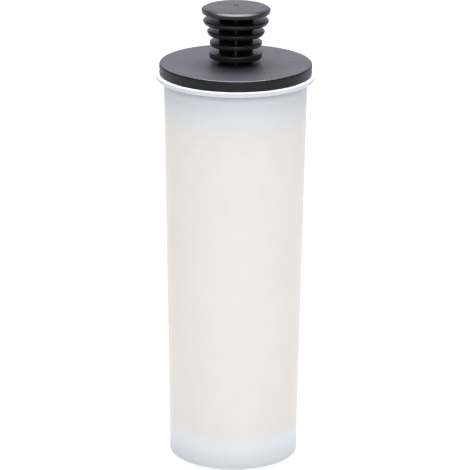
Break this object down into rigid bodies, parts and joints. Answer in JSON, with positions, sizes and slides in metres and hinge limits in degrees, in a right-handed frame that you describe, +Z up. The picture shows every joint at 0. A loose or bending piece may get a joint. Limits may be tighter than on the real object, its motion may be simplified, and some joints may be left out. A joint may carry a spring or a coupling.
{
  "type": "steam cleaner descaling cartridge",
  "caption": "Translucent tapered beaker of ion exchange resin with a mouth flange, a black disc lid and a finned finger grip.",
  "frame": {"origin": "middle of the circle on which the container's foot ring stands", "axes": "+Z up along the axis of the container, from the foot ring to the cap of the grip; X and Y lie across it"},
  "size_m": [0.058, 0.058, 0.1708],
  "materials": {
    "natural_plastic": "translucent natural polypropylene, satin",
    "black_plastic": "black polypropylene, satin with a fine moulded grain",
    "resin": "packed beads of beige ion exchange resin",
    "fleece": "white needled felt",
    "seal_rubber": "smooth black rubber"
  },
  "bodies": {
    "root": {"container": "natural_plastic", "lid": "black_plastic", "upper_screen": "natural_plastic", "lower_screen": "natural_plastic", "riser_tube": "natural_plastic", "seal_retainer": "natural_plastic", "upper_fleece": "fleece", "lower_fleece": "fleece", "resin_bed": "resin", "outlet_seal": "seal_rubber"}
  },
  "joints": []
}
